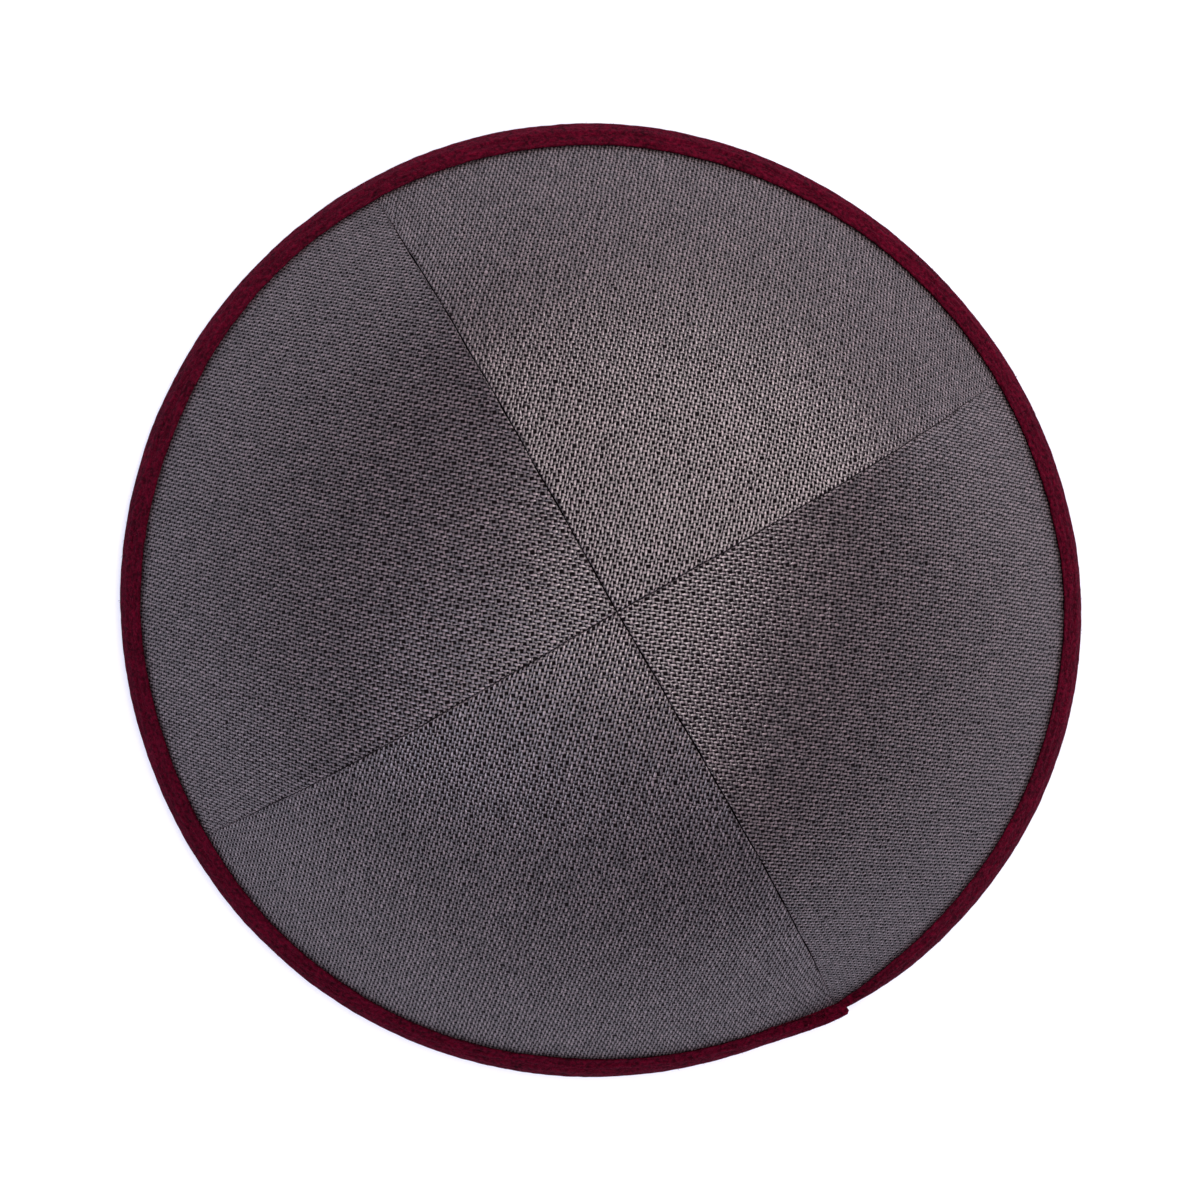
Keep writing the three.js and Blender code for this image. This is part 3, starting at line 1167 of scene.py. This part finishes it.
class Nodes:
    """Short ways to add nodes to a material and join them."""

    def __init__(self, name):
        self.material = bpy.data.materials.new(name)
        self.material.use_nodes = True
        self.tree = self.material.node_tree
        self.shader = self.tree.nodes["Principled BSDF"]

    def link(self, source, socket):
        if isinstance(source, (int, float)):
            socket.default_value = source
        elif isinstance(source, (tuple, list)):
            socket.default_value = tuple(source) + (1,) * (len(socket.default_value) - len(source))
        else:
            self.tree.links.new(source, socket)

    def math(self, operation, *values, clamp=False):
        node = self.tree.nodes.new("ShaderNodeMath")
        node.operation = operation
        node.use_clamp = clamp
        for value, socket in zip(values, node.inputs):
            self.link(value, socket)
        return node.outputs[0]

    def scaled(self, value, low, high, to_low, to_high, smooth=False):
        node = self.tree.nodes.new("ShaderNodeMapRange")
        node.interpolation_type = "SMOOTHSTEP" if smooth else "LINEAR"
        for source, name in ((value, "Value"), (low, "From Min"), (high, "From Max")):
            self.link(source, node.inputs[name])
        self.link(to_low, node.inputs["To Min"])
        self.link(to_high, node.inputs["To Max"])
        return node.outputs["Result"]

    def vector(self, x, y, z=0.0):
        node = self.tree.nodes.new("ShaderNodeCombineXYZ")
        for value, socket in zip((x, y, z), node.inputs):
            self.link(value, socket)
        return node.outputs[0]

    def map(self, name):
        node = self.tree.nodes.new("ShaderNodeUVMap")
        node.uv_map = name
        split = self.tree.nodes.new("ShaderNodeSeparateXYZ")
        self.tree.links.new(node.outputs["UV"], split.inputs[0])
        return split.outputs["X"], split.outputs["Y"]

    def place(self):
        node = self.tree.nodes.new("ShaderNodeTexCoord")
        return node.outputs["Object"]

    def radius(self):
        """Distance from the upright line through the apex, in metres."""
        node = self.tree.nodes.new("ShaderNodeVectorMath")
        node.operation = "MULTIPLY"
        self.link(self.place(), node.inputs[0])
        node.inputs[1].default_value = (1, 1, 0)
        length = self.tree.nodes.new("ShaderNodeVectorMath")
        length.operation = "LENGTH"
        self.link(node.outputs["Vector"], length.inputs[0])
        return length.outputs["Value"]

    def noise(self, vector, scale, detail=2.0, roughness=0.5):
        node = self.tree.nodes.new("ShaderNodeTexNoise")
        self.link(vector, node.inputs["Vector"])
        node.inputs["Scale"].default_value = scale
        node.inputs["Detail"].default_value = detail
        node.inputs["Roughness"].default_value = roughness
        return node.outputs["Fac"]

    def chance(self, x, y=0.0):
        node = self.tree.nodes.new("ShaderNodeTexWhiteNoise")
        node.noise_dimensions = "2D"
        self.link(self.vector(x, y), node.inputs["Vector"])
        return node.outputs["Value"]

    def mix(self, share, first, second, blend="MIX"):
        node = self.tree.nodes.new("ShaderNodeMix")
        node.data_type = "RGBA"
        node.blend_type = blend
        node.clamp_factor = True
        self.link(share, node.inputs["Factor"])
        self.link(first, node.inputs[6])
        self.link(second, node.inputs[7])
        return node.outputs[2]

    def toned(self, colour, tone):
        """A colour made lighter or darker by a tone."""
        return self.mix(1.0, colour, self.vector(tone, tone, tone), "MULTIPLY")

    def bump(self, height, distance, strength, normal=None):
        node = self.tree.nodes.new("ShaderNodeBump")
        node.inputs["Distance"].default_value = distance
        node.inputs["Strength"].default_value = strength
        self.link(height, node.inputs["Height"])
        if normal is not None:
            self.link(normal, node.inputs["Normal"])
        return node.outputs[0]

    def set(self, **values):
        for name, value in values.items():
            self.shader.inputs[name.replace("_", " ")].default_value = value


def darker(colour, share):
    return tuple(c * share for c in colour)


def tinted(colour, red, green, blue):
    return (colour[0] * red, colour[1] * green, colour[2] * blue)


def linen_material(settings):
    """Plain weave: leaning warp and weft threads over and under each other, with painted shade on the
    threads' sides and in the gaps.
    """
    n = Nodes("linen")
    warp_place, weft_place = n.map("weave")
    pair = n.vector(warp_place, weft_place)
    sway = n.math("MULTIPLY", n.math("SUBTRACT", n.noise(pair, 0.9, 2.0), 0.5), 0.16)
    warp_place = n.math("ADD", warp_place, sway)
    weft_place = n.math("SUBTRACT", weft_place, sway)
    steep = n.scaled(n.radius(), *LOOK_CHANGES, 0.0, 1.0, smooth=True)

    def thread(place, way, half_width, half_width_at_rim, slip, lean, lift):
        number = n.math("FLOOR", n.math("ADD", place, 0.5))
        phase = n.math("MULTIPLY", n.math("ADD", n.math("ADD", way, number), slip), math.pi)
        lane = n.math("MULTIPLY", number, 7.31)
        body = n.noise(n.vector(lane, n.math("MULTIPLY", way, 0.11)), 1.0, 3.0)
        knots = n.noise(n.vector(lane, n.math("MULTIPLY", way, 0.6), 5.0), 1.0, 1.0)
        wobble = n.noise(n.vector(lane, n.math("MULTIPLY", way, 0.35), 9.0), 1.0, 1.0)
        lean_here = n.scaled(knots, 0.3, 0.7, 0.3 * lean, 1.7 * lean)
        slant = n.math("MULTIPLY", n.math("SINE", phase), lean_here)
        slant = n.math("ADD", slant, n.scaled(wobble, 0.0, 1.0, -0.22, 0.22))
        aside = n.math("SUBTRACT", n.math("SUBTRACT", place, number), slant)
        half = n.scaled(steep, 0.0, 1.0, half_width, half_width_at_rim)
        half = n.math("MULTIPLY", half, n.scaled(body, 0.3, 0.75, 0.86, 1.18))
        half = n.math("MULTIPLY", half, n.scaled(knots, 0.3, 0.7, 1.14, 0.86))
        share = n.math("DIVIDE", n.math("ABSOLUTE", aside), half)
        inside = n.scaled(share, 0.82, 1.0, 1.0, 0.0, smooth=True)
        level = n.math("MINIMUM", share, 1.0)
        roundness = n.math("SQRT", n.math("SUBTRACT", 1.0, n.math("MULTIPLY", level, level)))
        wave = n.math("COSINE", phase)
        rise = n.math("MULTIPLY_ADD", wave, 0.5, lift)
        high = n.math("ADD", rise, n.math("MULTIPLY_ADD", roundness, 0.7, -0.7))
        height = n.math("ADD", n.math("MULTIPLY", inside, n.math("ADD", high, 1.3)), -1.3)
        return height, body, number

    warp_height, warp_body, warp_number = thread(
        warp_place, weft_place, half_width=0.295, half_width_at_rim=0.325, slip=0.0, lean=0.10, lift=0.10,
    )
    weft_height, weft_body, weft_number = thread(
        weft_place, warp_place, half_width=0.265, half_width_at_rim=0.315, slip=1.0, lean=-0.06, lift=0.04,
    )
    height = n.math("MAXIMUM", warp_height, weft_height)
    warp_on_top = n.math("GREATER_THAN", warp_height, weft_height)

    def streaks(warp_scale, weft_scale):
        across = n.math("MULTIPLY", warp_place, warp_scale)
        along = n.math("MULTIPLY", weft_place, weft_scale)
        return n.noise(n.vector(across, along), 1.0)

    def pick(of_weft, of_warp):
        return n.scaled(warp_on_top, 0.0, 1.0, of_weft, of_warp)

    body = pick(weft_body, warp_body)
    streak = pick(streaks(1.2, 9.0), streaks(9.0, 1.2))
    crossing = n.chance(warp_number, weft_number)
    colour = tuple(settings.thread_colour)
    bright = n.scaled(body, 0.3, 0.75, 0.86, 1.18)
    bright = n.math("MULTIPLY", bright, n.scaled(streak, 0.3, 0.7, 0.74, 1.26))
    bright = n.math("MULTIPLY", bright, n.scaled(crossing, 0.0, 1.0, 0.5, 1.5))
    # Wefts a little darker than warps: painted shade where they lie lower
    bright = n.math("MULTIPLY", bright, pick(0.92, 1.08))
    hue = n.chance(warp_number, n.math("ADD", weft_number, 0.5))
    tint = n.mix(hue, tinted(colour, 0.98, 1.0, 1.02), tinted(colour, 1.03, 0.99, 0.99))
    lit = n.toned(tint, bright)
    # Painted shade: the threads' sides are made nearly black and their crowns are kept lit
    side = n.mix(1.0, lit, (0.035, 0.025, 0.028), "MULTIPLY")
    crown = n.scaled(height, pick(-0.10, -0.35), pick(0.5, 0.48), 0.0, 1.0, smooth=True)
    crown_lit_side_shaded = n.mix(crown, side, lit)
    # Painted shade in the gaps between the threads, lighter towards the rim
    gap_shade = n.mix(steep, tuple(settings.gap_shade_colour), darker(colour, 0.07))
    full = n.mix(n.scaled(height, -1.2, -0.5, 0.0, 1.0, smooth=True), gap_shade, crown_lit_side_shaded)
    n.link(full, n.shader.inputs["Base Color"])
    fine = n.math("MULTIPLY_ADD", streak, 0.2, height)
    relief = n.bump(fine, 0.00010, 0.8)
    n.link(relief, n.shader.inputs["Normal"])
    n.link(relief, n.shader.inputs["Coat Normal"])
    n.link(n.scaled(height, -0.5, 0.3, 1.0, 0.8), n.shader.inputs["Roughness"])
    polish = n.math("MULTIPLY", n.scaled(height, -0.5, 0.15, 0.0, 1.0, smooth=True), pick(0.62, 1.0))
    gloss = n.scaled(n.radius(), *GLOSS_FADES, 1.0, GLOSS_AT_RIM, smooth=True)
    n.link(n.math("MULTIPLY", polish, gloss), n.shader.inputs["Coat Weight"])
    n.set(Coat_Roughness=0.34, Coat_IOR=1.9)
    n.set(Specular_IOR_Level=0.1, Sheen_Weight=0.04, Sheen_Roughness=0.35)
    n.shader.inputs["Sheen Tint"].default_value = (0.92, 0.78, 1.0, 1)
    return n.material


def tape_material(settings):
    """Fine ribbed tape, nearly black: painted shade where it shows through the seams."""
    n = Nodes("tape")
    rib = n.noise(n.place(), 2600.0, 2.0)
    # Nearly black: painted shade for the depth of the seams
    tone = n.scaled(rib, 0.3, 0.7, 0.03, 0.07)
    full = n.toned(tuple(settings.thread_colour), tone)
    n.link(full, n.shader.inputs["Base Color"])
    n.link(n.bump(rib, 0.0001, 0.6), n.shader.inputs["Normal"])
    n.set(Roughness=0.9, Specular_IOR_Level=0.1)
    return n.material


def binding_material(settings):
    """Brushed wool-like strip: mottled burgundy with a short matt nap, and painted shade on the set-back
    hem under its lip.
    """
    n = Nodes("binding")
    place = n.place()
    colour = tuple(settings.colour)
    tufts = n.noise(place, 1500.0, 3.0, 0.6)
    fibres = n.noise(place, 5200.0, 2.0, 0.6)
    patches = n.noise(place, 220.0, 2.0)
    mottle = n.scaled(patches, 0.3, 0.7, -0.22, 0.22)
    tone = n.math("ADD", n.scaled(tufts, 0.32, 0.68, 0.30, 1.75), mottle)
    tone = n.math("MULTIPLY", tone, n.scaled(fibres, 0.3, 0.7, 0.72, 1.28))
    share = n.scaled(tufts, 0.35, 0.7, 0.0, 1.0)
    base = n.mix(share, tinted(colour, 0.9, 0.7, 1.05), tinted(colour, 1.1, 1.6, 1.1))
    full = n.toned(base, tone)
    _, around = n.map("strip")
    # Painted shade: the set-back hem under the outer lip is made nearly black
    hem = n.scaled(around, *HEM_SHADE, 1.0, 0.0, smooth=True)
    full = n.mix(hem, full, darker(colour, 0.03))
    n.link(full, n.shader.inputs["Base Color"])
    soft = n.bump(tufts, 0.00040, 0.9)
    n.link(n.bump(fibres, 0.00012, 0.8, soft), n.shader.inputs["Normal"])
    n.set(Roughness=1.0, Specular_IOR_Level=0.02, Sheen_Weight=0.07, Sheen_Roughness=0.5)
    n.shader.inputs["Sheen Tint"].default_value = (1.0, 0.20, 0.38, 1)
    return n.material


def thread_material(settings):
    """Spun sewing thread of the topstitch."""
    n = Nodes("sewing_thread")
    place = n.place()
    twist = n.noise(place, 4200.0, 2.0)
    tone = n.scaled(twist, 0.3, 0.7, 0.65, 1.3)
    full = n.toned(tuple(settings.stitch_colour), tone)
    n.link(full, n.shader.inputs["Base Color"])
    n.link(n.bump(twist, 0.0001, 0.7), n.shader.inputs["Normal"])
    n.set(Roughness=0.9, Specular_IOR_Level=0.05)
    return n.material


def nap_material(settings):
    """Loose fibres, each a little lighter or darker than the binding."""
    n = Nodes("nap_fibres")
    speck = n.noise(n.place(), 900.0, 1.0)
    tone = n.scaled(speck, 0.35, 0.68, 1.1, 2.9)
    full = n.toned(tinted(tuple(settings.colour), 1.0, 1.8, 1.4), tone)
    n.link(full, n.shader.inputs["Base Color"])
    n.set(Roughness=0.85, Specular_IOR_Level=0.1)
    return n.material


def floor_material(settings):
    """Matt pale floor with the faintest unevenness."""
    n = Nodes("floor")
    speck = n.noise(n.place(), 40.0, 2.0)
    tone = n.scaled(speck, 0.3, 0.7, 0.99, 1.0)
    full = n.toned(tuple(settings.floor_colour), tone)
    n.link(full, n.shader.inputs["Base Color"])
    n.set(Roughness=0.9, Specular_IOR_Level=0.1, Emission_Strength=0.55)
    n.set(Emission_Color=(0.96, 0.98, 1.09, 1))
    return n.material


class KIPPAH_OT_panels(bpy.types.Operator):
    """Weave the four linen panels"""

    bl_idname = "kippah.panels"
    bl_label = "Linen panels"
    bl_options = {"REGISTER", "UNDO"}

    def execute(self, context):
        settings = context.scene.kippah_cloth
        linen = linen_material(settings)
        for order, panel in enumerate(PANELS):
            piece = panel_piece(panel, order, settings)
            piece.data.materials.append(linen)
            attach(piece, "root")
            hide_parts(panel.name)
        return {"FINISHED"}


class KIPPAH_OT_seam_tape(bpy.types.Operator):
    """Lay a tape under the seams"""

    bl_idname = "kippah.seam_tape"
    bl_label = "Seam tape"
    bl_options = {"REGISTER", "UNDO"}

    def execute(self, context):
        piece = tape_piece()
        piece.data.materials.append(tape_material(context.scene.kippah_cloth))
        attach(piece, "root")
        return {"FINISHED"}


class KIPPAH_OT_binding(bpy.types.Operator):
    """Fold the binding round the rim"""

    bl_idname = "kippah.binding"
    bl_label = "Binding"
    bl_options = {"REGISTER", "UNDO"}

    def execute(self, context):
        piece = binding_piece()
        piece.data.materials.append(binding_material(context.scene.kippah_binding))
        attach(piece, "root")
        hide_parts("binding")
        return {"FINISHED"}


class KIPPAH_OT_topstitch(bpy.types.Operator):
    """Sew the topstitch through the binding"""

    bl_idname = "kippah.topstitch"
    bl_label = "Topstitch"
    bl_options = {"REGISTER", "UNDO"}

    def execute(self, context):
        settings = context.scene.kippah_binding
        piece = topstitch_piece(settings)
        piece.data.materials.append(thread_material(settings))
        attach(piece, "root")
        return {"FINISHED"}


class KIPPAH_OT_nap(bpy.types.Operator):
    """Raise loose fibres on the binding"""

    bl_idname = "kippah.nap"
    bl_label = "Nap"
    bl_options = {"REGISTER", "UNDO"}

    def execute(self, context):
        settings = context.scene.kippah_binding
        piece = nap_piece(settings)
        piece.data.materials.append(nap_material(settings))
        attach(piece, "root")
        return {"FINISHED"}


def place_camera():
    """The camera nearly straight above, a little to the back left."""
    data = bpy.data.cameras.new("camera")
    camera = bpy.data.objects.new("camera", data)
    bpy.context.scene.collection.objects.link(camera)
    place = Vector(CAMERA_PLACE) * METRES
    ahead = (Vector(CAMERA_AIM) * METRES - place).normalized()
    right = ahead.cross(Vector((0, 1, 0))).normalized()
    up = right.cross(ahead)
    turn = Matrix((right, up, -ahead)).transposed()
    camera.matrix_world = Matrix.Translation(place) @ turn.to_4x4()
    distance = (Vector(CAMERA_AIM) - Vector(CAMERA_PLACE)).length
    data.sensor_width = SENSOR_WIDTH
    data.lens = SENSOR_WIDTH * distance / VIEW_WIDTH
    data.clip_start = 0.05
    data.clip_end = 20
    bpy.context.scene.camera = camera


def area_light(name, bearing, elevation, distance, size, power, colour):
    """A square soft light that looks at the cap."""
    data = bpy.data.lights.new(name, "AREA")
    data.shape = "SQUARE"
    data.size = size
    data.energy = power
    data.color = colour
    light = bpy.data.objects.new(name, data)
    turn = math.radians(bearing)
    rise = math.radians(elevation)
    back = Vector((math.cos(turn) * math.cos(rise), math.sin(turn) * math.cos(rise), math.sin(rise)))
    light.location = back * distance + Vector((0, 0, LIGHTS_LOOK_AT * METRES))
    light.rotation_mode = "QUATERNION"
    light.rotation_quaternion = (-back).to_track_quat("-Z", "Y")
    bpy.context.scene.collection.objects.link(light)


class KIPPAH_OT_stage(bpy.types.Operator):
    """Set up the floor, the lights and the camera"""

    bl_idname = "kippah.stage"
    bl_label = "Stage"
    bl_options = {"REGISTER", "UNDO"}

    def execute(self, context):
        settings = context.scene.kippah_stage
        half = HALF_FLOOR
        corners = [(-half, -half, 0), (half, -half, 0), (half, half, 0), (-half, half, 0)]
        floor = make_mesh("floor", corners, [(0, 1, 2, 3)], smooth=False)
        floor.data.materials.append(floor_material(settings))
        area_light(
            "key", bearing=60, elevation=30, distance=0.9, size=0.45,
            power=settings.key_power, colour=(1.0, 0.87, 0.87),
        )
        area_light(
            "top", bearing=25, elevation=77, distance=0.9, size=0.45,
            power=settings.top_power, colour=(1.0, 0.875, 0.88),
        )
        area_light(
            "fill", bearing=223, elevation=42, distance=1.0, size=0.6,
            power=settings.fill_power, colour=(0.92, 0.90, 1.10),
        )
        world = bpy.data.worlds.new("studio")
        world.use_nodes = True
        background = world.node_tree.nodes["Background"]
        background.inputs["Color"].default_value = (0.90, 0.90, 1.24, 1)
        background.inputs["Strength"].default_value = settings.world_strength
        context.scene.world = world
        context.scene.view_settings.view_transform = "Standard"
        place_camera()
        return {"FINISHED"}


class KIPPAH_PT_panel(bpy.types.Panel):
    """Lists the pieces and their settings"""

    bl_idname = "KIPPAH_PT_panel"
    bl_label = "Kippah"
    bl_space_type = "VIEW_3D"
    bl_region_type = "UI"
    bl_category = "Kippah"

    def draw(self, context):
        layout = self.layout
        for operator in OPERATORS:
            layout.operator(operator.bl_idname)
        scene = context.scene
        for settings in (scene.kippah_cloth, scene.kippah_binding, scene.kippah_stage):
            box = layout.box()
            for name in settings.__annotations__:
                box.prop(settings, name)


OPERATORS = (
    KIPPAH_OT_stage,
    KIPPAH_OT_panels,
    KIPPAH_OT_seam_tape,
    KIPPAH_OT_binding,
    KIPPAH_OT_topstitch,
    KIPPAH_OT_nap,
)
SETTINGS = (ClothSettings, BindingSettings, StageSettings)


def register():
    for made in (*SETTINGS, *OPERATORS, KIPPAH_PT_panel):
        bpy.utils.register_class(made)
    bpy.types.Scene.kippah_cloth = bpy.props.PointerProperty(type=ClothSettings)
    bpy.types.Scene.kippah_binding = bpy.props.PointerProperty(type=BindingSettings)
    bpy.types.Scene.kippah_stage = bpy.props.PointerProperty(type=StageSettings)


def unregister():
    del bpy.types.Scene.kippah_stage
    del bpy.types.Scene.kippah_binding
    del bpy.types.Scene.kippah_cloth
    for made in reversed((*SETTINGS, *OPERATORS, KIPPAH_PT_panel)):
        bpy.utils.unregister_class(made)


def main():
    register()
    bpy.ops.kippah.stage()
    bpy.ops.kippah.binding()
    bpy.ops.kippah.panels()
    bpy.ops.kippah.seam_tape()
    bpy.ops.kippah.topstitch()
    bpy.ops.kippah.nap()


if __name__ == "__main__":
    main()
